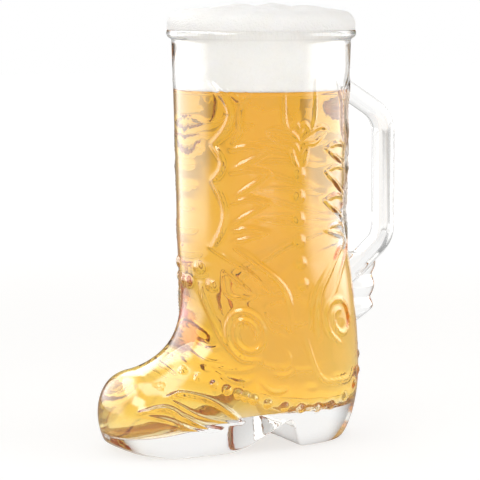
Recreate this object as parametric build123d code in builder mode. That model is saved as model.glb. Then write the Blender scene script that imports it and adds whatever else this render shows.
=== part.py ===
from build123d import *
import math
import os

# Beer boot glass: a mould-blown glass boot with an applied handle, full of lager under a head of foam.
# Millimetres, +Z up, toe towards -X, handle towards +X, standing on Z = 0.
# Lengths called reach and ahead are measured from the shaft's own axis.

# Shaft
rim_height = 209.0  # table to the top of the rim
rim_radius = 45.0  # outside of the shaft, just under the rim
waist_height = 118.0  # where the shaft is slimmest
waist_radius = 42.6
wall = 3.0  # glass of the shaft and the foot
rim_bead_radius = 2.8  # fire-polished bead round the mouth
rim_overhang = 2.3  # how far the bead stands out past the shaft
shaft_rings = 5  # level rings the shaft is drawn through
oval_points = 18  # points round each ring

# Ankle and heel, drawn through sections that fan out from a point in front of the ankle
fan_ahead = 100.0  # that point, ahead of the axis and above the table
fan_height = 95.0
throat_gap = 58.0  # from the point to the glass, level with it
instep_gap = 66.6  # where the instep is lowest under it
instep_sweep = 135.0  # degrees of a sine wave from the throat, past that low, to the ball of the foot
ankle_reach = 44.6  # back of the boot at the height of the point
ankle_half_width = 42.3
heel_reach = 51.6  # back of the boot where it stands out furthest
heel_widest_height = 33.0
heel_foot_reach = 45.0  # back of the heel at the table, before its edge is rounded
heel_edge = 16  # the higher, the tighter the heel's lower edge is rounded
heel_turn = 38.0  # degrees below the horizontal of the section through the heel's lower edge
heel_steps = 10  # sections from the shaft to there

# Ball and toe
ball_turn = 60.0  # degrees below the horizontal of the section through the ball of the foot
ball_half_width = 33.0
instep_steps = 5  # sections from the heel to there
toe_reach = 86.0  # tip of the toe
toe_height = 13.0  # height of the tip
toe_turns = (16, 31, 45, 58, 70, 79, 86)  # degrees round the egg-shaped toe

# Underside
sole_depth = 12.5  # how far the drawn form runs under the table, so that the sole is cut off wide
heel_breast = 9.0  # front of the heel, behind the axis
arch_peak_reach = 0.5  # corner of the arch, before it is rounded
arch_peak_height = 17.0
arch_radius = 5.0
ball_ahead = 26.0  # where the sole comes down to the table
spring_ahead = 58.0  # where the sole lifts off again towards the toe
toe_spring = 6.0  # lift at the tip of the toe

# Hollow
heel_floor = 19.5  # floor of the hollow over the heel and the arch
floor_bend_ahead = 22.0  # where the floor starts to run down into the toe
toe_floor = 8.5  # floor at the tip of the toe
floor_bend_radius = 60.0

# Relief pressed into both sides. A place on the skin is told by how far down the boot it lies, 0 to 1 from
# the rim to the ankle, 1 to 2 on to the ball and 2 to 3 on to the toe, and by degrees round from the front.
cord_radius = 1.5  # rods that stand half out of the skin
line_radius = 1.1
petal_radius = 1.7
rod_sunk = 0.27  # share of its radius that a rod's middle lies under the skin
rod_end_sunk = 0.75  # the same at its two ends
scallop_downs = (0.209, 0.479, 0.638, 0.928)  # cusps of the corded scallops on the shaft
scallop_swells = (13, 7.5, 9)  # degrees that each scallop swells towards the side seam
scallop_front = 31  # degrees round to the cusps
flame_downs = ((0.499, 0.59), (0.6, 0.716), (0.73, 0.826), (0.86, 0.908))  # upper and lower roots
flame_root = 44.5  # degrees round to a flame's two roots and to its tip
flame_tip = 69
flame_arch = 0.017  # how far a flame's upper edge arches
swoosh = ((0.923, 46), (0.976, 57), (1.06, 70), (1.12, 77), (1.19, 80), (1.31, 80))  # down to the side seam
vamp_edge = ((1.17, 18), (1.27, 20), (1.36, 26), (1.455, 35), (1.52, 45), (1.545, 57))
petals = (
    ((2.0, 52), (1.915, 52), (1.825, 64), (1.79, 78), (1.78, 90)),
    ((2.39, 60), (2.11, 62), (2.0, 74), (1.945, 85), (1.875, 94)),
)
front_scroll = (1.40, 54, 0.145, 15, 45, 1.9)  # middle, half height, half width, first degrees and turns
back_scroll = (1.22, 119, 0.09, 15, 0, 1.5)
scroll_close = 0.35  # share of its size that is left at a scroll's inner end
stud_radius = 3.0
stud_rise = 1.2
stud_count = 6  # down the side seam
stud_first = 0.605
stud_step = 0.0985
bead_radius = 2.3
bead_rise = 1.0
bead_turns = (31, 44, 55, 63, 69, 73, 77, 84, 92, 100, 109, 118, 129, 140, 150, 160, 166)
bead_front = 1.785  # where the row of beads starts over the toes
bead_climb = 0.49  # how far it climbs to the back of the heel
bead_bend = 1.34  # how much of that climb is left to the heel

# Beer and foam
fill_height = 178.5  # top of the beer
foam_setback = 0.3  # how far the dome stands inside the rim's outer edge
foam_rise = 12.0  # top of the dome and its lumps over the rim
foam_crown_radius = 37.0  # flat-topped middle of the dome
foam_crown_drop = 1.5  # how far the crown falls from its centre to its edge
foam_side_rise = 7.0  # shoulder of the dome over the rim
foam_crown_round = 18.0
foam_side_round = 7.0
lump_count = 8  # soft lumps on the crown, placed as seeds are in a flower
lump_spread = 9.4  # the larger, the further apart they are
lump_turn = 137.5  # degrees from each to the next
lump_radius = 24.0
lump_rise = 1.5  # how far they stand out of the crown
lump_depth = 2.8  # from their tops to their flat bases, inside the dome

# Handle
handle_reach = 74.5  # outer face of the grip
handle_thickness = 9.0
handle_width = 14.0
handle_edge = 3.6  # rounding of the bar's edges
handle_top = 181.0  # where its centre line meets the shaft's wall
grip_top = 163.0  # corners of the centre line
grip_bottom = 100.0
handle_foot = 78.0  # where its centre line goes into the ankle
grip_top_round = 16.0
grip_bottom_round = 13.0
tail_reach = 64.0  # outer face of the tail that is pressed against the ankle
tail_top = 93.0
tail_bottom = 58.0
tail_rise = 6.0  # how far the tail's lower edge climbs away from the boot
tail_width = 11.0
crimp_count = 3
crimp_bulge = 2.0  # how far each crimp stands out past the tail

axis_x = (toe_reach - handle_reach) / 2  # puts the whole object's middle on X = 0
rim_bead_height = rim_height - rim_bead_radius
foam_reach = rim_radius + rim_overhang - foam_setback
foam_top = rim_height + foam_rise
foam_side_height = rim_height + foam_side_rise
side_plane = Plane(origin=(axis_x, 0, 0), x_dir=(1, 0, 0), z_dir=(0, -1, 0))
shaft_axis = Axis((axis_x, 0, 0), (0, 0, 1))
cut_depth = 2 * sole_depth
cut_length = 2 * toe_reach
cut_width = 2 * rim_radius


def shaft_section(height, inset):
    # Front point, back point and half width of a level ring of the shaft
    flare = max(height - waist_height, 0) / (rim_height - waist_height)
    radius = waist_radius + (rim_radius - waist_radius) * flare**1.2
    swell = (max(waist_height - height, 0) / (waist_height - fan_height)) ** 2
    front = radius + swell * (fan_ahead - throat_gap - waist_radius)
    back = radius + swell * (ankle_reach - waist_radius)
    half_width = radius + swell * (ankle_half_width - waist_radius)
    return (inset - front, height), (back - inset, height), half_width - inset


def near_distance(turn):
    # From the fan point along a ray to the front of the ankle and the instep
    share = turn / math.radians(ball_turn)
    return throat_gap + (instep_gap - throat_gap) * math.sin(math.radians(instep_sweep) * share) ** 2


def far_distance(turn):
    # From the fan point along a ray to the back of the heel or the sole, rounded where the two meet
    widest = math.atan2(fan_height - heel_widest_height, heel_reach + fan_ahead)
    lowest = math.atan2(fan_height, heel_foot_reach + fan_ahead)
    if turn < widest:
        reach = heel_reach - (heel_reach - ankle_reach) * (1 - turn / widest) ** 1.5
    else:
        reach = heel_reach - (heel_reach - heel_foot_reach) * ((turn - widest) / (lowest - widest)) ** 2
    sole = math.sin(turn) / (fan_height + sole_depth)
    heel = math.cos(turn) / max(reach + fan_ahead, fan_ahead / 2)
    return (sole**heel_edge + heel**heel_edge) ** (-1 / heel_edge)


def fan_points(turn, near, far):
    front = (near * math.cos(turn) - fan_ahead, fan_height - near * math.sin(turn))
    back = (far * math.cos(turn) - fan_ahead, fan_height - far * math.sin(turn))
    return front, back


def fan_section(degrees, inset):
    # The same as a shaft ring, for a section that has turned down about the fan point
    turn = math.radians(degrees)
    front, back = fan_points(turn, near_distance(turn) + inset, far_distance(turn) - inset)
    narrowing = math.cos(math.pi / 2 * degrees / ball_turn) ** 2
    half_width = ball_half_width + (ankle_half_width - ball_half_width) * narrowing
    return front, back, half_width - inset


def toe_section(degrees, inset):
    # The same for a section of the egg-shaped toe, whose tip lies on the last ray of the fan
    ball = math.radians(ball_turn)
    ball_middle = (far_distance(ball) + near_distance(ball)) / 2
    ball_half = (far_distance(ball) - near_distance(ball)) / 2
    tip = math.atan2(fan_height - toe_height, fan_ahead - toe_reach)
    tip_distance = math.hypot(fan_height - toe_height, fan_ahead - toe_reach)
    forward = math.sin(math.radians(degrees))
    shrink = math.cos(math.radians(degrees))
    turn = ball + (tip - ball - inset / tip_distance) * forward
    middle = ball_middle + (tip_distance - ball_middle) * forward
    half = (ball_half - inset) * shrink
    front, back = fan_points(turn, middle - half, middle + half)
    return front, back, (ball_half_width - inset) * shrink


def ovals(sections):
    # Closed smooth curves, each drawn between its front and back points
    faces = []
    for front, back, half_width in sections:
        across = Vector(back[0] - front[0], 0, back[1] - front[1])
        middle = Vector(axis_x + (front[0] + back[0]) / 2, 0, (front[1] + back[1]) / 2)
        turns = [2 * math.pi * step / oval_points for step in range(oval_points)]
        points = [(across.length / 2 * math.cos(turn), half_width * math.sin(turn)) for turn in turns]
        with BuildSketch(Plane(origin=middle, x_dir=across, z_dir=(across.Z, 0, -across.X))) as oval:
            with BuildLine():
                Spline(*points, periodic=True)
            make_face()
        faces.append(oval.sketch)
    return faces


def shaft_ovals(inset):
    # From the mouth down to the ankle
    step = (rim_bead_height - fan_height) / shaft_rings
    return ovals([shaft_section(rim_bead_height - n * step, inset) for n in range(shaft_rings + 1)])


def heel_ovals(inset):
    # From the ankle round to the heel's lower edge
    step = heel_turn / heel_steps
    return ovals([fan_section(n * step, inset) for n in range(heel_steps + 1)])


def foot_ovals(inset):
    # From the heel under the instep and out to the tip of the toe
    step = (ball_turn - heel_turn) / instep_steps
    instep = [fan_section(heel_turn + n * step, inset) for n in range(instep_steps + 1)]
    return ovals(instep + [toe_section(degrees, inset) for degrees in toe_turns])


# Outside of the boot, still solid: the drawn form with heel, arch, sole and toe spring cut below it
with BuildPart() as boot_form:
    loft(sections=shaft_ovals(0))
    loft(sections=heel_ovals(0))
    loft(sections=foot_ovals(0))
    with BuildSketch(side_plane):
        with BuildLine():
            Polyline(
                (cut_length, 0),
                (cut_length, -cut_depth),
                (-cut_length, -cut_depth),
                (-cut_length, toe_spring),
                (-toe_reach, toe_spring),
            )
            TangentArc((-spring_ahead, 0), (-toe_reach, toe_spring), tangent=(-1, 0))
            Line((-spring_ahead, 0), (-ball_ahead, 0))
            FilletPolyline(
                (-ball_ahead, 0), (arch_peak_reach, arch_peak_height), (heel_breast, 0), radius=arch_radius
            )
            Line((heel_breast, 0), (cut_length, 0))
        make_face()
    extrude(amount=cut_width, both=True, mode=Mode.SUBTRACT)

# Hollow of the boot, with its flat floor over the heel running down into the toe
with BuildPart() as hollow_form:
    loft(sections=shaft_ovals(wall))
    loft(sections=heel_ovals(wall))
    loft(sections=foot_ovals(wall))
    with BuildSketch(side_plane):
        with BuildLine():
            floor_slope = (heel_floor - toe_floor) / (toe_reach - floor_bend_ahead)
            floor_end = toe_floor - floor_slope * (cut_length - toe_reach)
            FilletPolyline(
                (cut_length, heel_floor),
                (-floor_bend_ahead, heel_floor),
                (-cut_length, floor_end),
                radius=floor_bend_radius,
            )
            Polyline(
                (-cut_length, floor_end),
                (-cut_length, -cut_depth),
                (cut_length, -cut_depth),
                (cut_length, heel_floor),
            )
        make_face()
    extrude(amount=cut_width, both=True, mode=Mode.SUBTRACT)


def skin_point(down, turned, sink):
    # A place on the boot's skin, or a little under it
    if down < 1:
        front, back, half_width = shaft_section(rim_bead_height - down * (rim_bead_height - fan_height), sink)
    elif down < 2:
        front, back, half_width = fan_section((down - 1) * ball_turn, sink)
    else:
        front, back, half_width = toe_section((down - 2) * 90, sink)
    share = (1 - math.cos(math.radians(turned))) / 2
    ahead = front[0] + (back[0] - front[0]) * share
    height = front[1] + (back[1] - front[1]) * share
    return Vector(axis_x + ahead, -half_width * math.sin(math.radians(turned)), height)


def turned_about(places):
    # The same line on the back half of the shaft
    return [(down, 180 - turned) for down, turned in places]


def rod(places, radius):
    # A rod along a smooth line on the skin, running out into it at both ends
    sinks = [rod_end_sunk] + [rod_sunk] * (len(places) - 2) + [rod_end_sunk]
    points = [skin_point(*place, radius * sink) for place, sink in zip(places, sinks)]
    with BuildPart() as ridge:
        with BuildLine() as line:
            Spline(*points)
        with BuildSketch(Plane(origin=line.line @ 0, z_dir=line.line % 0)):
            Circle(radius)
        sweep(path=line.line)
    return ridge.part


def scallop(top, bottom, swell):
    shares = [n / 4 for n in range(5)]
    return [(top + (bottom - top) * n, scallop_front + swell * math.sin(math.pi * n)) for n in shares]


def flame(top, bottom):
    # Upper edge arched from root to tip, lower edge running back to the root
    middle = (flame_root + flame_tip) / 2
    upper = [(top, flame_root), (top - flame_arch, middle), (top, flame_tip)]
    lower = [(top, flame_tip), ((top + bottom) / 2, middle), (bottom, flame_root)]
    return upper, lower


def scroll(down, turned, half_height, half_width, first, turns):
    # A spiral that closes steadily
    steps = math.ceil(8 * turns)
    places = []
    for n in range(steps + 1):
        size = 1 - (1 - scroll_close) * n / steps
        angle = math.radians(first - 360 * turns * n / steps)
        lower = down + half_height * size * math.cos(angle)
        places.append((lower, turned + half_width * size * math.sin(angle)))
    return places


def studs(places, radius, rise):
    # Domes on both sides of the boot
    ball = (radius**2 + rise**2) / (2 * rise)
    near = [skin_point(*place, ball - rise) for place in places]
    far = [Vector(point.X, -point.Y, point.Z) for point in near]
    with BuildPart() as domes:
        with Locations(*near, *far):
            Sphere(ball)
    return domes.part


shaft_rods = [(swoosh, cord_radius)]
for top, bottom, swell in zip(scallop_downs, scallop_downs[1:], scallop_swells):
    shaft_rods.append((scallop(top, bottom, swell), cord_radius))
for top, bottom in flame_downs:
    shaft_rods += [(edge, line_radius) for edge in flame(top, bottom)]
rods = shaft_rods + [(turned_about(places), radius) for places, radius in shaft_rods]
rods += [(places, petal_radius) for places in petals]
rods += [(vamp_edge, line_radius), (scroll(*front_scroll), cord_radius), (scroll(*back_scroll), line_radius)]
seam_studs = [(stud_first + stud_step * n, 90) for n in range(stud_count)]
bead_shares = [(turn - bead_turns[0]) / (bead_turns[-1] - bead_turns[0]) for turn in bead_turns]
bead_drops = [bead_climb * share**bead_bend for share in bead_shares]
bead_places = [(bead_front - drop, turn) for drop, turn in zip(bead_drops, bead_turns)]

# Glass boot with its relief and its rim bead
with BuildPart() as boot_body:
    add(boot_form.part)
    ridges = [rod(places, radius) for places, radius in rods]
    add(ridges)
    mirror(ridges, about=Plane.XZ)
    add(studs(seam_studs, stud_radius, stud_rise))
    add(studs(bead_places, bead_radius, bead_rise))
    add(hollow_form.part, mode=Mode.SUBTRACT)
    with BuildSketch(side_plane):
        with Locations((rim_radius + rim_overhang - rim_bead_radius, rim_bead_height)):
            Circle(rim_bead_radius)
    revolve(axis=shaft_axis)

# Beer, up to its level top
with BuildPart() as beer:
    add(hollow_form.part)
    split(bisect_by=Plane.XY.offset(fill_height), keep=Keep.BOTTOM)

# Dome of the foam over the rim, with soft lumps
with BuildPart() as foam_dome:
    crown = foam_top - lump_rise
    with BuildSketch(side_plane):
        with BuildLine():
            outline = FilletPolyline(
                (0, crown),
                (foam_crown_radius, crown - foam_crown_drop),
                (foam_reach, foam_side_height),
                (foam_reach, rim_bead_height),
                radius=[foam_crown_round, foam_side_round],
            )
            Polyline(outline @ 1, (0, rim_bead_height), outline @ 0)
        make_face()
    revolve(axis=shaft_axis)
    lump_tops = []
    for n in range(lump_count):
        reach = lump_spread * math.sqrt(n + 0.5)
        turn = math.radians(lump_turn * n)
        height = foam_top - foam_crown_drop * reach / foam_crown_radius
        lump_tops.append((axis_x + reach * math.cos(turn), reach * math.sin(turn), height))
    lump_base = math.degrees(math.asin(1 - lump_depth / lump_radius))
    with Locations(*lump_tops):
        Sphere(lump_radius, arc_size1=lump_base, align=(Align.CENTER, Align.CENTER, Align.MAX))

# Head of foam, standing on the beer
with BuildPart() as foam_head:
    add(hollow_form.part)
    split(bisect_by=Plane.XY.offset(fill_height), keep=Keep.TOP)
    add(foam_dome.part)
    add(boot_body.part, mode=Mode.SUBTRACT)

# Handle: a rounded bar bent to a D, with its tail pressed against the ankle and crimped
with BuildPart() as handle:
    grip_reach = handle_reach - handle_thickness / 2
    with BuildLine(side_plane) as grip:
        FilletPolyline(
            (waist_radius - wall, handle_top),
            (grip_reach, grip_top),
            (grip_reach, grip_bottom),
            (ankle_reach - wall, handle_foot),
            radius=[grip_top_round, grip_bottom_round],
        )
    with BuildSketch(Plane(origin=grip.line @ 0, x_dir=(0, 1, 0), z_dir=grip.line % 0)):
        RectangleRounded(handle_width, handle_thickness, handle_edge)
    sweep(path=grip.line)
    with BuildSketch(side_plane):
        with BuildLine():
            crimp = (tail_top - tail_bottom - tail_rise) / crimp_count
            for n in range(crimp_count):
                top = tail_top - n * crimp
                ThreePointArc(
                    (tail_reach, top),
                    (tail_reach + crimp_bulge, top - crimp / 2),
                    (tail_reach, top - crimp),
                )
            Polyline(
                (tail_reach, tail_bottom + tail_rise),
                (ankle_reach - wall, tail_bottom),
                (ankle_reach - wall, handle_foot),
                (tail_reach, tail_top),
            )
        make_face()
    extrude(amount=tail_width / 2, both=True)
    add(boot_form.part, mode=Mode.SUBTRACT)

boot_body.part.label = "boot_body"
handle.part.label = "handle"
beer.part.label = "beer"
foam_head.part.label = "foam_head"

os.makedirs("parts", exist_ok=True)
export_step(boot_body.part, "parts/boot_body.step")
export_step(handle.part, "parts/handle.step")
export_step(beer.part, "parts/beer.step")
export_step(foam_head.part, "parts/foam_head.step")

print("glass", round(boot_body.part.volume + handle.part.volume), "mm3")
print("beer", round(beer.part.volume), "foam", round(foam_head.part.volume), "mm3")
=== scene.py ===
import bpy
import math
import numpy as np
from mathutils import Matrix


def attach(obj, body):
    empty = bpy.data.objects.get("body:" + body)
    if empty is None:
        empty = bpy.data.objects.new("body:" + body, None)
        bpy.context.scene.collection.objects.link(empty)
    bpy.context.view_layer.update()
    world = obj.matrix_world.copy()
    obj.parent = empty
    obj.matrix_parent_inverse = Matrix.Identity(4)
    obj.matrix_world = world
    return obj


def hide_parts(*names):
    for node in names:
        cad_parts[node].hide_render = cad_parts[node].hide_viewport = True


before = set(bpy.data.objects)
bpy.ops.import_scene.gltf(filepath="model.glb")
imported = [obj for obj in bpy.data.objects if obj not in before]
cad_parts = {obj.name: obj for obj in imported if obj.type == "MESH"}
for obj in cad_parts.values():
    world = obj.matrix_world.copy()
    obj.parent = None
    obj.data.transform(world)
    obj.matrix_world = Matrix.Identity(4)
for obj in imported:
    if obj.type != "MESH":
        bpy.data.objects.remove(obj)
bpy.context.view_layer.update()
mm = 0.001

# Beer boot glass. Lengths are millimetres from the shaft's axis and the table, toe towards -X.
boot = dict(
    axisX=5.75, rimHeight=209.0, rimRadius=45.0, waistHeight=118.0, waistRadius=42.6, flarePower=1.2, wall=3.0,
    beadRadius=2.8, beadOverhang=2.3, beadTurn=(148, -72), beadRows=14,
    hollowTop=1.8, skinTop=6.2,  # how far under the rim the hollow and the outer skin run into the bead
    plainDown=186.0,  # no ornament above that height
    fanAhead=100.0, fanHeight=95.0, throatGap=58.0, instepGap=66.6, instepSweep=135.0,
    ankleReach=44.6, ankleHalfWidth=42.3, heelReach=51.6, heelWidestHeight=33.0, heelFootReach=45.0,
    heelEdge=16, soleDepth=12.5, ballTurn=60.0, ballHalfWidth=33.0, toeReach=86.0, toeHeight=13.0,
    toeEnd=88,  # degrees of the toe's quarter turn at which its rows stop and the tip closes it
    heelBreast=9.0, archPeakReach=0.5, archPeakHeight=17.0, archRound=2.0, archFootRound=1.6,
    ballAhead=26.0, springAhead=58.0, toeSpring=6.0, soleRound=0.7,
    heelFloor=19.5, floorBendAhead=22.0, floorBendRound=4.0, toeFloor=8.5, floorRound=1.2,
    plainRows=8, shaftRows=112, fanRows=126, toeRows=38, innerRows=(4, 24, 20), around=280, sideCrowding=0.45,
)
glassOverlap = 0.2  # the beer runs this far into the wall, so no film of air shows between them


def hexColour(code):
    # sRGB hex to linear RGBA: each channel is the usual power curve
    srgb = np.array([int(code[n:n + 2], 16) for n in (1, 3, 5)]) / 255
    linear = np.where(srgb <= 0.04045, srgb / 12.92, ((srgb + 0.055) / 1.055) ** 2.4)
    return (*linear.tolist(), 1.0)


def addNode(tree, kind, inputs=None, **settings):
    # one node: a socket given as an input is linked, any other value is set
    node = tree.nodes.new(kind)
    for name, value in settings.items():
        setattr(node, name, value)
    for key, value in (inputs or {}).items():
        if isinstance(value, bpy.types.NodeSocket):
            tree.links.new(value, node.inputs[key])
        else:
            node.inputs[key].default_value = value
    return node


def combine(tree, operation, *values):
    # one sum, product or other operation on one or two values
    return addNode(tree, "ShaderNodeMath", dict(enumerate(values)), operation=operation).outputs[0]


def newMaterial(name):
    material = bpy.data.materials.new(name)
    material.use_nodes = True
    material.node_tree.nodes.clear()
    return material, material.node_tree


def gridObject(name, points, startPole=None, endPole=None):
    # a grid of points, closed round its columns, with an optional pole at either end;
    # the points arrive in millimetres from the shaft's axis
    rows, columns = points.shape[:2]
    vertices = points.reshape(-1, 3)
    column = np.arange(columns)
    nextColumn = np.roll(column, -1)
    row = np.arange(rows - 1)[:, None] * columns
    corners = [row + column, row + columns + column, row + columns + nextColumn, row + nextColumn]
    faces = np.stack(corners, -1).reshape(-1, 4).tolist()
    if startPole is not None:
        faces += np.stack([np.full(columns, len(vertices)), column, nextColumn], -1).tolist()
        vertices = np.vstack([vertices, startPole])
    if endPole is not None:
        last = (rows - 1) * columns
        faces += np.stack([np.full(columns, len(vertices)), last + nextColumn, last + column], -1).tolist()
        vertices = np.vstack([vertices, endPole])
    mesh = bpy.data.meshes.new(name)
    mesh.from_pydata((vertices + np.array([boot["axisX"], 0, 0])) * mm, [], faces)
    mesh.polygons.foreach_set("use_smooth", np.ones(len(faces), bool))
    mesh.update()
    piece = bpy.data.objects.new(name, mesh)
    bpy.context.scene.collection.objects.link(piece)
    return piece


def nearDistance(turn):
    # fan point to instep along a ray: a squared sine that starts flat at the throat
    share = turn / math.radians(boot["ballTurn"])
    rise = np.sin(math.radians(boot["instepSweep"]) * share) ** 2
    return boot["throatGap"] + (boot["instepGap"] - boot["throatGap"]) * rise


def farDistance(turn):
    # fan point to heel or sole along a ray: the nearer of the two, blended by a high power mean;
    # the heel's reach grows to its widest by a power of 1.5 and tucks in under it by a square
    widest = math.atan2(boot["fanHeight"] - boot["heelWidestHeight"], boot["heelReach"] + boot["fanAhead"])
    lowest = math.atan2(boot["fanHeight"], boot["heelFootReach"] + boot["fanAhead"])
    swell, tuck = boot["heelReach"] - boot["ankleReach"], boot["heelReach"] - boot["heelFootReach"]
    above = boot["heelReach"] - swell * np.clip(1 - turn / widest, 0, 1) ** 1.5
    below = tuck * (np.clip(turn - widest, 0, None) / (lowest - widest)) ** 2
    reach = np.maximum(above - below + boot["fanAhead"], boot["fanAhead"] / 2)
    sole = np.sin(turn) / (boot["fanHeight"] + boot["soleDepth"])
    heel = np.cos(turn) / reach
    return (sole ** boot["heelEdge"] + heel ** boot["heelEdge"]) ** (-1 / boot["heelEdge"])


def shaftSections(height, inset):
    # level rings: a radius that flares to the rim and swells a little towards the ankle
    flare = np.clip(height - boot["waistHeight"], 0, None) / (boot["rimHeight"] - boot["waistHeight"])
    radius = boot["waistRadius"] + (boot["rimRadius"] - boot["waistRadius"]) * flare ** boot["flarePower"]
    drop = np.clip(boot["waistHeight"] - height, 0, None)
    swell = (drop / (boot["waistHeight"] - boot["fanHeight"])) ** 2
    front = radius + swell * (boot["fanAhead"] - boot["throatGap"] - boot["waistRadius"])
    back = radius + swell * (boot["ankleReach"] - boot["waistRadius"])
    halfWidth = radius + swell * (boot["ankleHalfWidth"] - boot["waistRadius"])
    return np.stack([inset - front, height], -1), np.stack([back - inset, height], -1), halfWidth - inset


def fanPoints(turn, near, far):
    # the two ends of each ray, at those distances from the fan point
    ray = np.stack([np.cos(turn), -np.sin(turn)], -1)
    origin = np.array([-boot["fanAhead"], boot["fanHeight"]])
    return origin + near[:, None] * ray, origin + far[:, None] * ray


def fanSections(turn, inset):
    # sections on rays from the fan point, their width easing from ankle to ball by a squared cosine
    front, back = fanPoints(turn, nearDistance(turn) + inset, farDistance(turn) - inset)
    narrowing = np.cos(math.pi / 2 * turn / math.radians(boot["ballTurn"])) ** 2
    halfWidth = boot["ballHalfWidth"] + (boot["ankleHalfWidth"] - boot["ballHalfWidth"]) * narrowing
    return front, back, halfWidth - inset


def toeFigures(inset):
    # the ball's ray, middle and half span, then the tip's ray and its distance from the fan point
    ball = math.radians(boot["ballTurn"])
    near, far = nearDistance(ball), farDistance(ball)
    drop, ahead = boot["fanHeight"] - boot["toeHeight"], boot["fanAhead"] - boot["toeReach"]
    tipDistance = math.hypot(drop, ahead)
    tip = math.atan2(drop, ahead) - inset / tipDistance
    return ball, (far + near) / 2, (far - near) / 2 - inset, tip, tipDistance


def toeSections(angle, inset):
    # an egg: forward by the sine of the angle, shrinking by its cosine, to a tip on the last ray
    ball, middle, half, tip, tipDistance = toeFigures(inset)
    forward, shrink = np.sin(angle), np.cos(angle)
    centre = middle + (tipDistance - middle) * forward
    front, back = fanPoints(ball + (tip - ball) * forward, centre - half * shrink, centre + half * shrink)
    return front, back, (boot["ballHalfWidth"] - inset) * shrink


def toeTip(inset):
    *_, tip, tipDistance = toeFigures(inset)
    x = tipDistance * math.cos(tip) - boot["fanAhead"]
    return np.array([x, 0, boot["fanHeight"] - tipDistance * math.sin(tip)])


def ovalGrid(front, back, halfWidth, columns):
    # each row is an oval: its middle, plus half its span times the cosine, and its half width times the
    # sine across; a sine of twice the angle crowds the columns at the two sides, where the ornament is
    angle = np.linspace(0, 2 * math.pi, columns, endpoint=False)
    angle = angle + boot["sideCrowding"] / 2 * np.sin(2 * angle)
    middle, half = (front + back) / 2, (back - front) / 2
    x = middle[:, :1] + half[:, :1] * np.cos(angle)
    z = middle[:, 1:] + half[:, 1:] * np.cos(angle)
    return np.stack([x, halfWidth[:, None] * np.sin(angle), z], -1)


def roundGrid(reach, height, columns):
    # level circles about the shaft's axis
    return ovalGrid(np.stack([-reach, height], -1), np.stack([reach, height], -1), reach, columns)


def bootGrid(heights, inset, fanRows, toeRows, columns):
    # the whole boot from level rings at those heights down to just short of the toe's tip,
    # its rows even in each stretch
    shaft = shaftSections(heights, inset)
    fan = fanSections(np.linspace(0, math.radians(boot["ballTurn"]), fanRows, endpoint=False), inset)
    toe = toeSections(np.linspace(0, math.radians(boot["toeEnd"]), toeRows), inset)
    return ovalGrid(*[np.concatenate(parts) for parts in zip(shaft, fan, toe)], columns)


def softFloor(value, floor, rounding):
    # the value where it is above the floor and the floor where it is not, joined by a soft curve;
    # more than 30 roundings up, the curve is the value itself
    gap = (value - floor) / rounding
    return floor + rounding * np.where(gap > 30, gap, np.log1p(np.exp(np.minimum(gap, 30))))


def underside(x):
    # sole profile: two slopes that meet in a rounded arch, flat heel and ball, an arc lifting at the toe
    rise = boot["archPeakHeight"] * (x + boot["ballAhead"]) / (boot["ballAhead"] + boot["archPeakReach"])
    fall = boot["archPeakHeight"] * (boot["heelBreast"] - x) / (boot["heelBreast"] - boot["archPeakReach"])
    arch = -softFloor(-rise, -fall, boot["archRound"])
    length, lift = boot["toeReach"] - boot["springAhead"], boot["toeSpring"]
    radius = (length ** 2 + lift ** 2) / (2 * lift)
    spring = radius - np.sqrt(radius ** 2 - np.clip(-boot["springAhead"] - x, 0, length) ** 2)
    return softFloor(arch, 0.0, boot["archFootRound"]) + spring


def hollowFloor(x):
    # level over the heel, then running down into the toe round a soft bend
    slope = (boot["heelFloor"] - boot["toeFloor"]) / (boot["toeReach"] - boot["floorBendAhead"])
    return boot["heelFloor"] - slope * softFloor(-boot["floorBendAhead"] - x, 0.0, boot["floorBendRound"])


def skinPoints(down, turned):
    # places on the smooth skin: the section that far down the boot, then round its oval from front to back
    beadHeight = boot["rimHeight"] - boot["beadRadius"]
    shaft = shaftSections(beadHeight - np.minimum(down, 1) * (beadHeight - boot["fanHeight"]), 0)
    fan = fanSections(np.clip(down - 1, 0, 1) * math.radians(boot["ballTurn"]), 0)
    toe = toeSections(np.clip(down - 2, 0, 1) * math.pi / 2, 0)
    stretch, each = np.clip(down.astype(int), 0, 2), np.arange(len(down))
    front, back, halfWidth = [np.stack(kinds)[stretch, each] for kinds in zip(shaft, fan, toe)]
    turn = np.radians(turned)
    side = front + (back - front) * (1 - np.cos(turn))[:, None] / 2
    return np.stack([side[:, 0], -halfWidth * np.sin(turn), side[:, 1]], -1)


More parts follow.
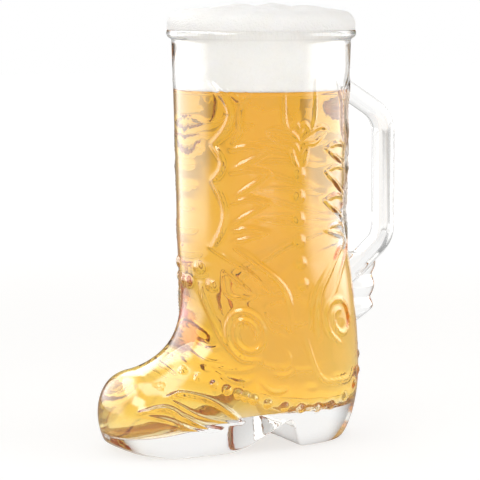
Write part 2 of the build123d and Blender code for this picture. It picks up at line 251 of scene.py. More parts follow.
# Relief as on a tooled western boot: corded scallops, flames, pull strap, scrolls, studs, beads, toe petals.
# A place is told as in the solid: how far down the boot (0 to 1 from rim to ankle, 1 to 2 on to the ball,
# 2 to 3 on to the toe) and degrees round from the front.
relief = dict(
    cord=1.5, line=1.1, petal=1.7, thread=0.85, sunk=0.27, endSunk=0.75,
    crispness=1.4, narrow=0.68, narrowest=0.7,  # a ridge's height and width by its radius, its least width
    nearby=3,  # how many radii out a ridge is followed
    downScale=100, step=1.0,  # a whole stretch down counts as 100 degrees round when a curve is stepped
    scallopDowns=(0.209, 0.479, 0.638, 0.928), scallopSwells=(13, 7.5, 9), scallopFront=31,
    flameDowns=((0.499, 0.59), (0.6, 0.716), (0.73, 0.826), (0.86, 0.908)),
    flameRoot=44.5, flameTip=69, flameArch=0.017,
    swoosh=((0.923, 46), (0.976, 57), (1.06, 70), (1.12, 77), (1.19, 80), (1.31, 80)),
    vampEdge=((1.17, 18), (1.27, 20), (1.36, 26), (1.455, 35), (1.52, 45), (1.545, 57)),
    petals=(((2.0, 52), (1.915, 52), (1.825, 64), (1.79, 78), (1.78, 90)),
            ((2.39, 60), (2.11, 62), (2.0, 74), (1.945, 85), (1.875, 94))),
    frontScroll=(1.40, 54, 0.145, 15, 45, 1.9), backScroll=(1.22, 119, 0.09, 15, 0, 1.5), scrollClose=0.35,
    studs=dict(radius=3.0, rise=1.2, turn=90, first=0.605, step=0.0985, count=6),
    beads=dict(radius=2.3, rise=1.0, front=1.785, climb=0.49, bend=1.34,
               turns=(31, 44, 55, 63, 69, 73, 77, 84, 92, 100, 109, 118, 129, 140, 150, 160, 166)),
    throatStuds=dict(radius=3.3, rise=1.2, places=((1.17, 28), (1.05, 17), (1.18, 4))),
    shaftThreads=[  # thin lines, repeated the other way round on the back half of the shaft
        # inner branch of the scallop, then the notch between the branches
        ((0.205, 58), (0.258, 55), (0.306, 51), (0.364, 50), (0.426, 49), (0.489, 44)),
        ((0.234, 41), (0.267, 47), (0.282, 50), (0.229, 51)),
        # edge of the pull strap, the petals under it and their stem
        ((0.2, 79), (0.325, 79), (0.388, 80), (0.412, 83), (0.388, 87), (0.412, 90)),
        ((0.412, 68), (0.402, 75), (0.431, 85), (0.46, 89)),
        ((0.431, 70), (0.47, 79), (0.475, 86), (0.504, 89)),
        ((0.489, 84), (0.542, 86), (0.576, 89)),
        # tail of the scallop
        ((0.928, 27), (0.976, 41), (1.025, 51), (1.07, 58), (1.145, 67)),
    ],
    footThreads=[
        # heel counter
        ((1.305, 90), (1.375, 94), (1.435, 101), (1.45, 108), (1.43, 119), (1.41, 128), (1.38, 134)),
        ((0.947, 129), (1.01, 114), (1.105, 101), (1.2, 95), (1.285, 93)),
        # crescents under the front scroll
        ((1.655, 43), (1.63, 52), (1.57, 61), (1.51, 66)),
        ((1.67, 48), (1.66, 59), (1.63, 65), (1.585, 66)),
        # hook, smile and bowl over the arch
        ((1.4, 77), (1.435, 82), (1.475, 81), (1.49, 76)),
        ((1.525, 76), (1.51, 81), (1.475, 85)),
        ((1.585, 71), (1.595, 78), (1.58, 83), (1.55, 86)),
        # leaf at the throat
        ((1.055, 38), (1.11, 46), (1.18, 57)),
        ((1.185, 57), (1.215, 48), (1.2, 40), (1.07, 38)),
        # lower edges of the toe petals
        ((2.005, 53), (1.97, 63), (1.92, 76), (1.83, 87), (1.78, 91)),
        ((2.4, 62), (2.145, 74), (1.96, 90), (1.88, 95)),
    ],
)


def scrollPlaces(down, turned, halfHeight, halfWidth, first, turns):
    # a spiral that closes steadily, eight places to a turn
    share = np.linspace(0, 1, math.ceil(8 * turns) + 1)
    size = 1 - (1 - relief["scrollClose"]) * share
    angle = np.radians(first - 360 * turns * share)
    downs = down + halfHeight * size * np.cos(angle)
    return np.stack([downs, turned + halfWidth * size * np.sin(angle)], -1)


def reliefRods():
    # every ridge as its places and radius; those of the shaft come a second time, turned about its seam
    shaft = [(relief["swoosh"], relief["cord"])]
    share = np.linspace(0, 1, 5)
    downs = relief["scallopDowns"]
    for top, bottom, swell in zip(downs, downs[1:], relief["scallopSwells"]):
        bulge = relief["scallopFront"] + swell * np.sin(math.pi * share)
        shaft.append((np.stack([top + (bottom - top) * share, bulge], -1), relief["cord"]))
    root, tip = relief["flameRoot"], relief["flameTip"]
    middle = (root + tip) / 2
    for top, bottom in relief["flameDowns"]:
        shaft.append((((top, root), (top - relief["flameArch"], middle), (top, tip)), relief["line"]))
        shaft.append((((top, tip), ((top + bottom) / 2, middle), (bottom, root)), relief["line"]))
    shaft += [(places, relief["thread"]) for places in relief["shaftThreads"]]
    turned = [(np.array(places) * (1, -1) + (0, 180), radius) for places, radius in shaft]
    foot = [(places, relief["petal"]) for places in relief["petals"]]
    foot += [(relief["vampEdge"], relief["line"]), (scrollPlaces(*relief["frontScroll"]), relief["cord"])]
    foot += [(scrollPlaces(*relief["backScroll"]), relief["line"])]
    foot += [(places, relief["thread"]) for places in relief["footThreads"]]
    return shaft + turned + foot


def reliefStuds():
    # every stud and bead as its place, radius and rise
    seam, row, throat = relief["studs"], relief["beads"], relief["throatStuds"]
    seamDowns = seam["first"] + seam["step"] * np.arange(seam["count"])
    studs = [(down, seam["turn"], seam["radius"], seam["rise"]) for down in seamDowns]
    turns = np.array(row["turns"], float)
    share = (turns - turns[0]) / (turns[-1] - turns[0])
    downs = row["front"] - row["climb"] * share ** row["bend"]
    studs += [(down, turn, row["radius"], row["rise"]) for down, turn in zip(downs, turns)]
    studs += [(*place, throat["radius"], throat["rise"]) for place in throat["places"]]
    return np.array(studs)


def smoothPath(path, step):
    # a Catmull-Rom curve through the points, at about even steps
    points = np.array(path, float)
    padded = np.vstack([2 * points[0] - points[1], points, 2 * points[-1] - points[-2]])
    count = max(int(np.linalg.norm(np.diff(points, axis=0), axis=1).max() / step), 2)
    t = np.linspace(0, 1, count, endpoint=False)[:, None, None]
    a, b, c, d = padded[:-3], padded[1:-2], padded[2:-1], padded[3:]
    bend, twist = 2 * a - 5 * b + 4 * c - d, 3 * b - a - 3 * c + d
    curve = 0.5 * (2 * b + (c - a) * t + bend * t ** 2 + twist * t ** 3)
    return np.vstack([curve.transpose(1, 0, 2).reshape(-1, points.shape[1]), points[-1]])


def roundedPath(corners, radii, step, arcPoints=15):
    # straight runs joined by tangent arcs, sampled at even steps
    corners = np.array(corners, float)
    pieces = [corners[:1]]
    for n, radius in enumerate(radii):
        before, corner, after = corners[n], corners[n + 1], corners[n + 2]
        a, b = [(other - corner) / np.linalg.norm(other - corner) for other in (before, after)]
        half = math.acos(np.clip(a @ b, -1, 1)) / 2
        bisector = (a + b) / np.linalg.norm(a + b)
        centre = corner + bisector * radius / math.sin(half)
        start, end = corner + a * radius / math.tan(half), corner + b * radius / math.tan(half)
        mix = np.linspace(0, 1, arcPoints)[:, None]
        chord = start * (1 - mix) + end * mix - centre
        pieces.append(centre + radius * chord / np.linalg.norm(chord, axis=1, keepdims=True))
    pieces.append(corners[-1:])
    rough = np.vstack(pieces)
    length = np.concatenate([[0], np.cumsum(np.hypot(*np.diff(rough, axis=0).T))])
    even = np.linspace(0, length[-1], int(length[-1] / step))
    return np.stack([np.interp(even, length, rough[:, 0]), np.interp(even, length, rough[:, 1])], -1)


def reliefHeight(points):
    # a ridge is its height times a bell curve of the distance to its line, a stud a cap of a ball;
    # the highest one counts
    flat = points.reshape(-1, 3).copy()
    flat[:, 1] = -np.abs(flat[:, 1])  # both sides of the boot alike
    height = np.zeros(len(flat))
    scale = relief["downScale"]
    for places, radius in reliefRods():
        sunk = np.full(len(places), relief["sunk"])
        sunk[[0, -1]] = relief["endSunk"]
        curve = smoothPath(np.column_stack([np.array(places, float) * (scale, 1), sunk]), relief["step"])
        track, sunk = skinPoints(curve[:, 0] / scale, curve[:, 1]), curve[:, 2]
        margin = relief["nearby"] * radius
        close = np.flatnonzero(((flat > track.min(0) - margin) & (flat < track.max(0) + margin)).all(1))
        start, run = track[:-1], np.diff(track, axis=0)
        offset = flat[close][:, None, :] - start
        share = np.clip((offset * run).sum(-1) / (run ** 2).sum(-1), 0, 1)
        distance = np.linalg.norm(offset - share[..., None] * run, axis=-1)
        nearest = distance.argmin(1)
        distance = distance[np.arange(len(close)), nearest]
        width = max(relief["narrow"] * radius, relief["narrowest"])
        ridge = relief["crispness"] * radius * (1 - sunk[nearest]) * np.exp(-(distance / width) ** 2)
        height[close] = np.maximum(height[close], ridge)
    studs = reliefStuds()
    for centre, radius, rise in zip(skinPoints(studs[:, 0], studs[:, 1]), studs[:, 2], studs[:, 3]):
        distance = np.linalg.norm(flat - centre, axis=1)
        ball = (radius ** 2 + rise ** 2) / (2 * rise)
        height = np.maximum(height, np.sqrt(np.clip(ball ** 2 - distance ** 2, 0, None)) - (ball - rise))
    return height.reshape(points.shape[:2])


def gridNormals(points):
    # cross product of the two directions of the grid, turned to point away from each row's middle
    along = np.gradient(points, axis=0)
    across = np.roll(points, -1, 1) - np.roll(points, 1, 1)
    normal = np.cross(along, across)
    normal /= np.maximum(np.linalg.norm(normal, axis=-1, keepdims=True), 1e-9)
    outward = points - points.mean(1, keepdims=True)
    return normal * np.sign((normal * outward).sum(-1, keepdims=True).mean())


def bootBody():
    # one closed skin: up the hollow from its toe, over the rim bead, and down the outside to the outer toe
    rim, columns = boot["rimHeight"], boot["around"]
    plain = np.linspace(rim - boot["skinTop"], boot["plainDown"], boot["plainRows"], endpoint=False)
    tooled = np.linspace(boot["plainDown"], boot["fanHeight"], boot["shaftRows"], endpoint=False)
    outer = bootGrid(np.concatenate([plain, tooled]), 0, boot["fanRows"], boot["toeRows"], columns)
    skin = outer + gridNormals(outer) * reliefHeight(outer)[..., None]
    skin[..., 2] = softFloor(skin[..., 2], underside(skin[..., 0]), boot["soleRound"])
    heights = np.linspace(rim - boot["hollowTop"], boot["fanHeight"], boot["innerRows"][0], endpoint=False)
    inner = bootGrid(heights, boot["wall"], *boot["innerRows"][1:], columns)
    inner[..., 2] = softFloor(inner[..., 2], hollowFloor(inner[..., 0]), boot["floorRound"])
    turn = np.radians(np.linspace(*boot["beadTurn"], boot["beadRows"]))
    beadMiddle = boot["rimRadius"] + boot["beadOverhang"] - boot["beadRadius"]
    beadHeight = rim - boot["beadRadius"] + boot["beadRadius"] * np.sin(turn)
    bead = roundGrid(beadMiddle + boot["beadRadius"] * np.cos(turn), beadHeight, columns)
    innerTip, outerTip = toeTip(boot["wall"]), toeTip(0)
    innerTip[2] = max(innerTip[2], hollowFloor(innerTip[:1])[0])
    outerTip[2] = max(outerTip[2], underside(outerTip[:1])[0])
    return gridObject("bootBody", np.concatenate([inner[::-1], bead, skin]), innerTip, outerTip)


drink = dict(fillHeight=178.5, rows=(40, 70, 30), around=128, discStart=0.1, discRows=6)


def beerFill():
    # the hollow's own surface up to the level top, closed by a flat disc
    inset = boot["wall"] - glassOverlap
    heights = np.linspace(drink["fillHeight"], boot["fanHeight"], drink["rows"][0], endpoint=False)
    grid = bootGrid(heights, inset, *drink["rows"][1:], drink["around"])
    grid[..., 2] = softFloor(grid[..., 2], hollowFloor(grid[..., 0]) - glassOverlap, boot["floorRound"])
    centre = np.array([0, 0, drink["fillHeight"]])
    share = np.linspace(drink["discStart"], 1, drink["discRows"], endpoint=False)[:, None, None]
    disc = centre + (grid[0] - centre) * share
    tip = toeTip(inset)
    tip[2] = max(tip[2], hollowFloor(tip[:1])[0] - glassOverlap)
    return gridObject("beer", np.concatenate([disc, grid]), centre, tip)


foam = dict(
    top=221.0, crownRadius=37.0, crownDrop=1.5, sideHeight=216.0, reach=47.0, rounds=(18.0, 7.0), step=0.8,
    # round the rim's bead, as reach and height over the rim
    seat=((47.0, -1.2), (46.4, -1.3), (44.5, -0.7), (42.4, -1.6)),
    plugTop=2.5, plugRows=16, airGap=0.1, floorSink=0.1, floorReach=4.0, floorRows=8, around=220,
    lumpCount=8, lumpSpread=9.4, lumpTurn=137.5, lumpRadius=24.0, lumpRise=1.5, lumpBlend=0.4, lumpFade=3.0,
    ripple=0.3, rippleSizes=(13, 8, 5), rippleWaves=4, rippleSeed=5,
    # heights over the rim at which ripples start to grow and to lift, over what height, and their lean outward
    rippleFrom=0.5, rippleFade=4.0, liftFrom=-2.0, liftFade=12.0, lean=60.0,
)


def foamHead():
    # a turned profile, dome then the plug inside the glass; the crown is raised to caps of balls, soft where
    # they meet, and small ripples of summed sine waves run over the dome
    crown, rim = foam["top"] - foam["lumpRise"], boot["rimHeight"]
    seat = np.array(foam["seat"]) + (0, rim)
    corners = [(0, crown), (foam["crownRadius"], crown - foam["crownDrop"]),
               (foam["reach"], foam["sideHeight"]), seat[0]]
    dome = roundedPath(corners, foam["rounds"], foam["step"])
    seat = smoothPath(seat, foam["step"])
    heights = np.linspace(rim - foam["plugTop"], drink["fillHeight"] - foam["floorSink"], foam["plugRows"])
    wall = shaftSections(heights, boot["wall"] + foam["airGap"])[2]
    floorReach = np.linspace(wall[-1], foam["floorReach"], foam["floorRows"])[1:]
    reach = np.concatenate([dome[1:, 0], seat[1:, 0], wall, floorReach])
    height = np.concatenate([dome[1:, 1], seat[1:, 1], heights, np.full(len(floorReach), heights[-1])])
    grid = roundGrid(reach, height, foam["around"])
    count = np.arange(foam["lumpCount"])
    lumpReach, turn = foam["lumpSpread"] * np.sqrt(count + 0.5), np.radians(foam["lumpTurn"] * count)
    lumps = np.stack([lumpReach * np.cos(turn), lumpReach * np.sin(turn)], -1)
    peak = foam["top"] - foam["crownDrop"] * lumpReach / foam["crownRadius"] - foam["lumpRadius"]
    away = np.linalg.norm(grid[..., None, :2] - lumps, axis=-1)
    caps = (peak + np.sqrt(np.clip(foam["lumpRadius"] ** 2 - away ** 2, 0, None))).max(-1)
    onTop = np.clip((grid[..., 2] - foam["sideHeight"]) / foam["lumpFade"], 0, 1)
    grid[..., 2] += onTop * (softFloor(grid[..., 2], caps, foam["lumpBlend"]) - grid[..., 2])
    rng = np.random.default_rng(foam["rippleSeed"])
    waves, wave = foam["rippleWaves"], np.zeros(grid.shape[:2])
    for size in foam["rippleSizes"]:
        way = rng.normal(size=(waves, 3))
        way /= np.linalg.norm(way, axis=1, keepdims=True)
        phase = rng.uniform(0, 2 * math.pi, waves)
        share = size / foam["rippleSizes"][0]
        wave += share * np.sin(2 * math.pi / size * (grid @ way.T) + phase).sum(-1) / waves
    over = grid[..., 2] - rim
    swell = foam["ripple"] * wave * np.clip((over - foam["rippleFrom"]) / foam["rippleFade"], 0, 1)
    lift = np.clip((over - foam["liftFrom"]) / foam["liftFade"], 0, 1)
    direction = np.stack([grid[..., 0] / foam["lean"], grid[..., 1] / foam["lean"], lift], -1)
    top = np.array([0, 0, grid[0, :, 2].mean()])
    return gridObject("foamHead", grid + direction * swell[..., None], top, np.array([0, 0, heights[-1]]))


grip = dict(
    reach=74.5, thickness=9.0, width=14.0, squareness=3.2, top=181.0, gripTop=163.0, gripBottom=100.0,
    foot=78.0, topRound=16.0, bottomRound=13.0, around=48, step=0.9, voxel=0.55, easing=10,
    sink=2.5, weld=0.3,  # how far both ends run into the boot before the remesh, and after it
    tailReach=64.0, tailTop=93.0, tailBottom=58.0, tailWidth=11.0, tailWaist=0.75, tailSlope=2.0,
    taper=7.0, taperStart=0.82, taperLength=0.18, crimps=3, crimpBulge=2.0, tailRows=60, tailAround=32,
)


def heelBack(height):
    # the boot's back below the ankle, along the ray that has that height at the ankle's reach
    turn = np.arctan2(np.clip(boot["fanHeight"] - height, 0, None), boot["ankleReach"] + boot["fanAhead"])
    return farDistance(turn) * np.cos(turn) - boot["fanAhead"]


def handleBar():
    # a squarish oval, powers of cosine and sine, carried along the bent line
    centre = grip["reach"] - grip["thickness"] / 2
    rootTop = shaftSections(np.array([grip["top"]]), grip["sink"])[1][0, 0]
    corners = [(rootTop, grip["top"]), (centre, grip["gripTop"]),
               (centre, grip["gripBottom"]), (boot["ankleReach"], grip["foot"])]
    path = roundedPath(corners, [grip["topRound"], grip["bottomRound"]], grip["step"])
    tangent = np.gradient(path, axis=0)
    tangent /= np.linalg.norm(tangent, axis=1, keepdims=True)
    angle = np.linspace(0, 2 * math.pi, grip["around"], endpoint=False)
    power = 2 / grip["squareness"]
    out, side = [np.sign(wave) * np.abs(wave) ** power for wave in (np.cos(angle), np.sin(angle))]
    out = grip["thickness"] / 2 * out
    across = np.broadcast_to(grip["width"] / 2 * side, (len(path), grip["around"]))
    grid = np.stack([path[:, :1] - tangent[:, 1:] * out, across, path[:, 1:] + tangent[:, :1] * out], -1)
    ends = [np.array([p[0], 0, p[1]]) for p in (path[0], path[-1])]
    return gridObject("handle", grid, *ends)


def handleTail():
    # level ovals from the boot's back out to an edge scalloped by the size of a sine
    heights = np.linspace(grip["tailTop"], grip["tailBottom"], grip["tailRows"])
    inside = heelBack(heights) - grip["sink"]
    share = (grip["tailTop"] - heights) / (grip["tailTop"] - grip["tailBottom"])
    crimp = np.abs(np.sin(math.pi * grip["crimps"] * share))
    taper = grip["taper"] * np.clip(share - grip["taperStart"], 0, 1) / grip["taperLength"]
    outside = grip["tailReach"] - grip["tailSlope"] * share + grip["crimpBulge"] * crimp - taper
    half = grip["tailWidth"] / 2 * (grip["tailWaist"] + (1 - grip["tailWaist"]) * crimp)
    edges = [np.stack([reach, heights], -1) for reach in (inside, outside)]
    grid = ovalGrid(*edges, half, grip["tailAround"])
    ends = [np.array([(inside[n] + outside[n]) / 2, 0, heights[n]]) for n in (0, -1)]
    return gridObject("handleTail", grid, *ends)


def handlePiece():
    # bar and tail fused by a fine voxel remesh; where they run into the boot, their skin is laid along
    # the boot's back, a little under its surface
    bar, tail = handleBar(), handleTail()
    join = bar.modifiers.new("joinTail", "BOOLEAN")
    join.operation, join.object, join.solver = "UNION", tail, "EXACT"
    fuse = bar.modifiers.new("fuse", "REMESH")
    fuse.mode, fuse.voxel_size, fuse.use_smooth_shade = "VOXEL", grip["voxel"] * mm, True
    ease = bar.modifiers.new("ease", "SMOOTH")
    ease.factor, ease.iterations = 0.5, grip["easing"]
    graph = bpy.context.evaluated_depsgraph_get()
    fused = bpy.data.meshes.new_from_object(bar.evaluated_get(graph))
    bar.modifiers.clear()
    bar.data = fused
    bpy.data.objects.remove(tail)
    spots = np.empty(len(fused.vertices) * 3)
    fused.vertices.foreach_get("co", spots)
    spots = spots.reshape(-1, 3) / mm
    height = spots[:, 2]
    shaftBack = shaftSections(np.maximum(height, boot["fanHeight"]), 0)[1][:, 0]
    back = np.where(height < boot["fanHeight"], heelBack(height), shaftBack)
    back = back - spots[:, 1] ** 2 / (2 * boot["waistRadius"]) - grip["weld"]
    spots[:, 0] = np.maximum(spots[:, 0], back + boot["axisX"])
    fused.vertices.foreach_set("co", (spots * mm).ravel())
    fused.polygons.foreach_set("use_smooth", np.ones(len(fused.polygons), bool))
    return bar


def blownGlass(name, wave, streak):
    # Soda-lime glass, mould-blown and fire polished: water-clear, with soft waves from the mould that bend
    # reflections, and a roughness that barely varies where fingers and wiping dull it.
    material, tree = newMaterial(name)
    coords = addNode(tree, "ShaderNodeTexCoord").outputs["Object"]
    stretched = addNode(tree, "ShaderNodeMapping", {"Vector": coords, "Scale": streak}).outputs["Vector"]
    ripple = addNode(tree, "ShaderNodeTexNoise", {
        "Vector": stretched, "Scale": 1 / (wave * mm), "Detail": 2.0, "Roughness": 0.4})
    smear = addNode(tree, "ShaderNodeTexNoise", {"Vector": coords, "Scale": 1 / (35 * mm), "Detail": 4.0})
    dull = addNode(tree, "ShaderNodeMapRange", {
        "Value": smear.outputs["Fac"], "From Min": 0.5, "From Max": 0.8, "To Min": 0.0, "To Max": 0.04})
    bump = addNode(tree, "ShaderNodeBump", {
        "Height": ripple.outputs["Fac"], "Strength": 0.35, "Distance": 0.25 * mm})
    shader = addNode(tree, "ShaderNodeBsdfPrincipled", {
        "Base Color": hexColour("#fdfdfc"), "Roughness": dull.outputs["Result"], "IOR": 1.52,
        "Transmission Weight": 1.0, "Normal": bump.outputs["Normal"]})
    addNode(tree, "ShaderNodeOutputMaterial", {"Surface": shader.outputs["BSDF"]})
    return material


def lagerBeer():
    # Pilsner-style lager, a filtered liquid: clear, gold where it is thin and amber where it is deep, which
    # the absorption gives by itself; a faint ripple stands for the slow swirl under the foam.
    material, tree = newMaterial("lagerBeer")
    coords = addNode(tree, "ShaderNodeTexCoord").outputs["Object"]
    swirl = addNode(tree, "ShaderNodeTexNoise", {"Vector": coords, "Scale": 1 / (30 * mm), "Detail": 2.0})
    bump = addNode(tree, "ShaderNodeBump", {
        "Height": swirl.outputs["Fac"], "Strength": 0.15, "Distance": 0.3 * mm})
    shader = addNode(tree, "ShaderNodeBsdfPrincipled", {
        "Base Color": (1, 1, 1, 1), "Roughness": 0.0, "IOR": 1.34, "Transmission Weight": 1.0,
        "Specular Tint": (0.05, 0.05, 0.05, 1),  # it lies against glass, where its own skin hardly reflects
        "Normal": bump.outputs["Normal"]})
    depth = addNode(tree, "ShaderNodeVolumeAbsorption", {"Color": (0.97, 0.79, 0.04, 1), "Density": 48.0})
    addNode(tree, "ShaderNodeOutputMaterial", {
        "Surface": shader.outputs["BSDF"], "Volume": depth.outputs["Volume"]})
    return material


def beerFoam():
    # Beer foam, a stiff wet froth: near white, soft to light, pricked all over with half-millimetre bubbles
    material, tree = newMaterial("beerFoam")
    coords = addNode(tree, "ShaderNodeTexCoord").outputs["Object"]
    cells = addNode(tree, "ShaderNodeTexVoronoi", {
        "Vector": coords, "Scale": 1 / (1.1 * mm)})  # twice life size, to show
    clouds = addNode(tree, "ShaderNodeTexNoise", {"Vector": coords, "Scale": 1 / (14 * mm), "Detail": 5.0})
    tint = addNode(tree, "ShaderNodeMix", {
        "Factor": clouds.outputs["Fac"], 6: hexColour("#f8f4ee"), 7: hexColour("#fffdfa")}, data_type="RGBA")
    pores = addNode(tree, "ShaderNodeMapRange", {
        "Value": cells.outputs["Distance"], "From Min": 0.0, "From Max": 0.6})
    height = combine(tree, "ADD", pores.outputs["Result"], clouds.outputs["Fac"])
    bump = addNode(tree, "ShaderNodeBump", {"Height": height, "Strength": 0.4, "Distance": 0.5 * mm})
    shader = addNode(tree, "ShaderNodeBsdfPrincipled", {
        "Base Color": tint.outputs[2], "Roughness": 0.7, "Specular IOR Level": 0.2, "Subsurface Weight": 0.35,
        "Subsurface Radius": (1.0, 0.9, 0.75), "Subsurface Scale": 2.5 * mm, "Normal": bump.outputs["Normal"]})
    addNode(tree, "ShaderNodeOutputMaterial", {"Surface": shader.outputs["BSDF"]})
    return material


def dress(piece, node, material):
    piece.data.materials.clear()
    piece.data.materials.append(material)
    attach(piece, "root")
    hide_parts(node)


glass = bootBody()
dress(glass, "boot_body", blownGlass("mouldBlownGlass", 9, (1, 1, 0.6)))
print("boot body and relief")
handle = handlePiece()
dress(handle, "handle", blownGlass("drawnHandleGlass", 5, (1, 1, 0.25)))
glass.visible_shadow = handle.visible_shadow = False  # clear glass lets the lamps through to foam and paper
print("handle")
dress(beerFill(), "beer", lagerBeer())
dress(foamHead(), "foam_head", beerFoam())
print("beer and foam")

# Studio, in metres
studio = dict(
    floorSize=8.0, floorShade="#bdbbb8", fill=0.55, room=0.1, bounces=32,
    glow=dict(near=0.64, far=0.77, reach=(0.25, 1.2)),  # paper lit from below, more so away from the lamps
    under=dict(gain=1.45, reach=(0.1, 0.35)),  # painted light: the paper glows brighter inside the mug's own shadow, seen only through the glass
    flag=dict(start=0.4, end=0.95, shade=0.45),  # darker sides, which the glass gathers into its edges
    wings=dict(start=0.45, end=0.95, shade=0.35),  # the same in the room, as sines of the turn to either side
    ceiling=dict(start=0.25, end=0.7, shade=0.7),  # and overhead, as sines of the height; seen through glass
    across=(0.903, -0.430, 0.0),  # to the right as the camera sees it
    lamps=[  # name, place, aim, width, height, radiance
        ("overheadLamp", (-0.15, -0.10, 1.10), (0, 0, 0.10), 1.0, 1.0, 0.3),
        ("rightLamp", (0.48, -0.28, 0.35), (0, 0, 0.14), 0.42, 0.56, 1.0),
        ("leftLamp", (-0.55, -0.20, 0.35), (0, 0, 0.14), 0.42, 0.56, 0.8),
        ("frontLamp", (-0.40, -0.90, 0.08), (0, 0, 0.19), 0.60, 0.40, 6.0),
    ],
    cards=[  # white reflectors that only reflections show: the same figures
        ("rightCard", (0.425, -0.147, 0.20), (0, 0, 0.20), 1.00, 0.60, 5.0),
        ("leftCard", (-0.329, 0.307, 0.20), (0, 0, 0.20), 1.00, 0.60, 4.3),
        ("upperLeftCard", (-0.345, 0.242, 0.42), (-0.03, 0, 0.05), 0.95, 0.65, 9.5),
        ("toeCard", (-0.45, -0.15, 0.36), (-0.035, -0.03, 0.06), 0.40, 0.36, 10.0),
        ("backCard", (0.05, 0.66, 0.52), (0, 0, 0.05), 1.00, 0.60, 6.5),
        ("topCard", (-0.10, 0.0, 0.95), (0, 0, 0.10), 0.90, 0.90, 6.0),
    ],
    cardFade=0.4,  # share of a card's half size at which it starts to fade
    camera=(-0.47955, -0.9950, 0.234), pitch=6.8, heading=-25.455, view=12.4, clipStart=0.01,
)


def faceTowards(place, aim):
    # turns a lamp or a card, which look down by themselves, from its place to its aim
    way = np.array(aim) - np.array(place)
    return math.acos(-way[2] / np.linalg.norm(way)), 0, math.atan2(way[1], way[0]) - math.pi / 2


def flatPiece(name, width, height):
    mesh = bpy.data.meshes.new(name)
    x, y = width / 2, height / 2
    mesh.from_pydata([(-x, -y, 0), (x, -y, 0), (x, y, 0), (-x, y, 0)], [], [(0, 1, 2, 3)])
    piece = bpy.data.objects.new(name, mesh)
    bpy.context.scene.collection.objects.link(piece)
    return piece


def mapped(tree, value, low, high, first, last):
    # a smooth step from first to last as the value goes from low to high
    return addNode(tree, "ShaderNodeMapRange", {
        "Value": value, "From Min": low, "From Max": high, "To Min": first, "To Max": last},
        interpolation_type="SMOOTHSTEP").outputs["Result"]


def mixed(tree, factor, first, last):
    # first where the factor is 0 and last where it is 1
    return addNode(tree, "ShaderNodeMix", {0: factor, 2: first, 3: last}, data_type="FLOAT").outputs[0]


def sideShade(tree, place, step):
    # 1 in the middle of the view, down to the step's shade at either side
    across = addNode(tree, "ShaderNodeVectorMath", {0: place, 1: studio["across"]}, operation="DOT_PRODUCT")
    sideways = combine(tree, "ABSOLUTE", across.outputs["Value"])
    return mapped(tree, sideways, step["start"], step["end"], 1.0, step["shade"])


def paperFloor():
    # white paper: a diffuse sheet whose glow shows only to the camera and through the glass
    floor = flatPiece("floor", studio["floorSize"], studio["floorSize"])
    material, tree = newMaterial("paperSweep")
    path = addNode(tree, "ShaderNodeLightPath")
    place = addNode(tree, "ShaderNodeTexCoord").outputs["Object"]
    away = addNode(tree, "ShaderNodeVectorMath", {0: place}, operation="LENGTH").outputs["Value"]
    glow, under = studio["glow"], studio["under"]
    paper = mapped(tree, away, *glow["reach"], glow["near"], glow["far"])
    # painted light: a stronger glow near the mug, filling its shadow on the paper for rays through the glass
    shadowLift = mapped(tree, away, *under["reach"], under["gain"], 1.0)
    through = combine(tree, "MULTIPLY", sideShade(tree, place, studio["flag"]), shadowLift)
    through = combine(tree, "MULTIPLY", through, path.outputs["Is Transmission Ray"])
    seen = combine(tree, "MAXIMUM", through, path.outputs["Is Camera Ray"])
    strength = combine(tree, "MULTIPLY", paper, seen)
    paint = addNode(tree, "ShaderNodeBsdfDiffuse", {"Color": hexColour(studio["floorShade"])})
    light = addNode(tree, "ShaderNodeEmission", {"Color": (1, 1, 1, 1), "Strength": strength})
    lit = addNode(tree, "ShaderNodeAddShader", {0: paint.outputs[0], 1: light.outputs[0]})
    addNode(tree, "ShaderNodeOutputMaterial", {"Surface": lit.outputs[0]})
    floor.data.materials.append(material)


def softCard(name, place, aim, width, height, radiance):
    # a white card, bright in the middle and soft at its edges, seen by reflections alone
    card = flatPiece(name, width, height)
    card.location, card.rotation_euler = place, faceTowards(place, aim)
    card.visible_camera = card.visible_diffuse = card.visible_transmission = card.visible_shadow = False
    material, tree = newMaterial(name)
    split = addNode(tree, "ShaderNodeSeparateXYZ", {0: addNode(tree, "ShaderNodeTexCoord").outputs["Object"]})
    fades = []
    for axis, half in ((0, width / 2), (1, height / 2)):
        off = combine(tree, "ABSOLUTE", split.outputs[axis])
        fades.append(mapped(tree, off, studio["cardFade"] * half, half, 1.0, 0.0))
    fade = combine(tree, "MULTIPLY", *fades)
    strength = combine(tree, "MULTIPLY", fade, radiance)
    light = addNode(tree, "ShaderNodeEmission", {"Color": (1, 1, 1, 1), "Strength": strength})
    clear = addNode(tree, "ShaderNodeBsdfTransparent")
    blend = addNode(tree, "ShaderNodeMixShader", {0: fade, 1: clear.outputs[0], 2: light.outputs[0]})
    addNode(tree, "ShaderNodeOutputMaterial", {"Surface": blend.outputs[0]})
    card.data.materials.append(material)


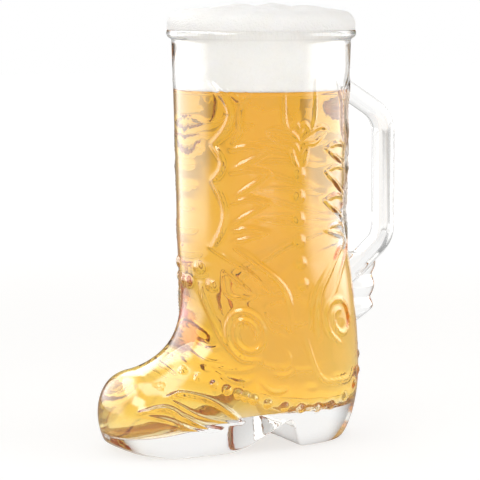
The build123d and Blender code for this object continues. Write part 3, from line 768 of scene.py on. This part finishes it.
def paleRoom():
    # white to the camera, and through the glass but for its sides and ceiling; dim in reflections,
    # and an even fill for the rest
    world = bpy.data.worlds.new("studio")
    bpy.context.scene.world = world
    world.use_nodes = True
    sky = world.node_tree
    sky.nodes.clear()
    path = addNode(sky, "ShaderNodeLightPath")
    look = addNode(sky, "ShaderNodeTexCoord").outputs["Generated"]
    height = addNode(sky, "ShaderNodeSeparateXYZ", {0: look}).outputs["Z"]
    ceiling = studio["ceiling"]
    through = mapped(sky, height, ceiling["start"], ceiling["end"], 1.0, ceiling["shade"])
    through = combine(sky, "MULTIPLY", through, sideShade(sky, look, studio["wings"]))
    level = mixed(sky, path.outputs["Is Glossy Ray"], studio["fill"], studio["room"])
    level = mixed(sky, path.outputs["Is Transmission Ray"], level, through)
    level = mixed(sky, path.outputs["Is Camera Ray"], level, 1.0)
    light = addNode(sky, "ShaderNodeBackground", {"Color": (1, 1, 1, 1), "Strength": level})
    addNode(sky, "ShaderNodeOutputWorld", {"Surface": light.outputs[0]})


def softLamp(name, place, aim, width, height, radiance):
    lamp = bpy.data.lights.new(name, "AREA")
    lamp.shape, lamp.size, lamp.size_y = "RECTANGLE", width, height
    lamp.energy = radiance * math.pi * width * height  # watts that give that brightness on the lamp's face
    holder = bpy.data.objects.new(name, lamp)
    bpy.context.scene.collection.objects.link(holder)
    holder.location, holder.rotation_euler = place, faceTowards(place, aim)
    holder.visible_camera = holder.visible_glossy = holder.visible_transmission = False


def studioSet():
    # paper sweep, room, lamps, cards, and a camera at the photograph's place
    paperFloor()
    paleRoom()
    for lamp in studio["lamps"]:
        softLamp(*lamp)
    for card in studio["cards"]:
        softCard(*card)
    lens = bpy.data.cameras.new("camera")
    lens.sensor_fit, lens.angle = "HORIZONTAL", math.radians(studio["view"])
    lens.clip_start = studio["clipStart"]
    camera = bpy.data.objects.new("camera", lens)
    bpy.context.scene.collection.objects.link(camera)
    camera.location = studio["camera"]
    camera.rotation_euler = (math.radians(90 - studio["pitch"]), 0, math.radians(studio["heading"]))
    bpy.context.scene.camera = camera


studioSet()
scene = bpy.context.scene
scene.view_settings.view_transform = "Standard"
scene.cycles.max_bounces = scene.cycles.transmission_bounces = scene.cycles.glossy_bounces = studio["bounces"]
print("studio")
